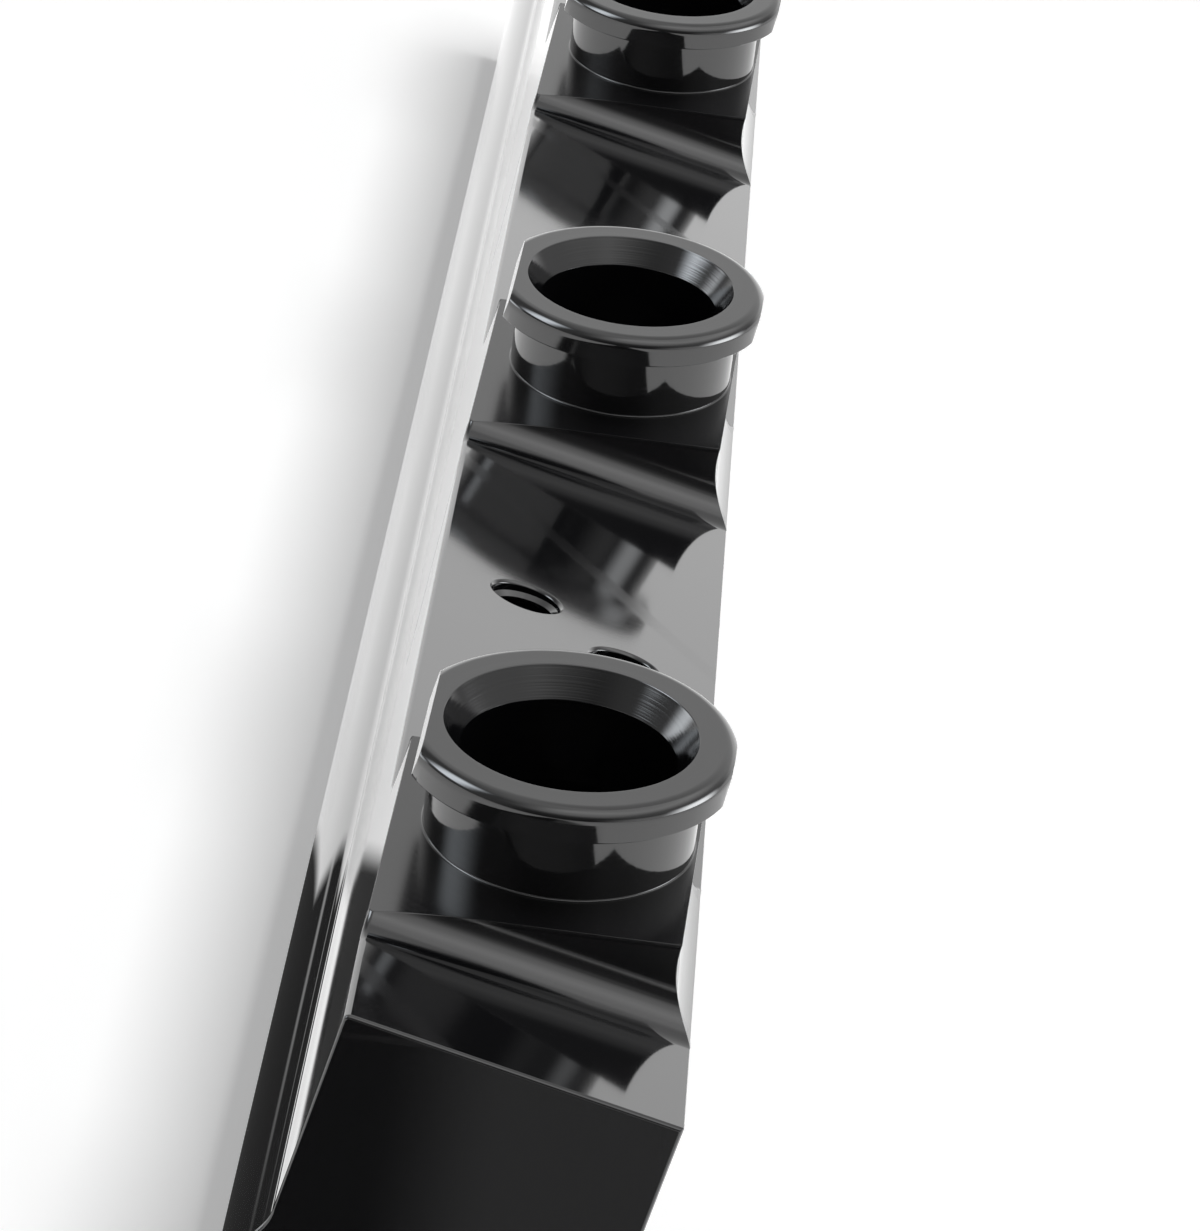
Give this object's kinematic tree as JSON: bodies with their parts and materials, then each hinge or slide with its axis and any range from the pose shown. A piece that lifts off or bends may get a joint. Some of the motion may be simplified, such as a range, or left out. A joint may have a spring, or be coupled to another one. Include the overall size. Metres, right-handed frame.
{
  "type": "fuel rail",
  "caption": "Straight one-piece fuel rail, round below a flat-sided neck, with a row of canted, lipped injector cups on bosses and a threaded port in each end.",
  "frame": {"origin": "middle of the narrow flat along the underside, at half of the rail's length", "axes": "+X along the rail, away from the end nearest in the picture. +Z out of the lands that carry the cups. +Y across, to the side that the cups lean towards."},
  "size_m": [0.3506, 0.0244, 0.0465],
  "materials": {
    "black_anodised": "polished, black anodised"
  },
  "bodies": {
    "root": {"rail_body": "black_anodised"}
  },
  "joints": []
}
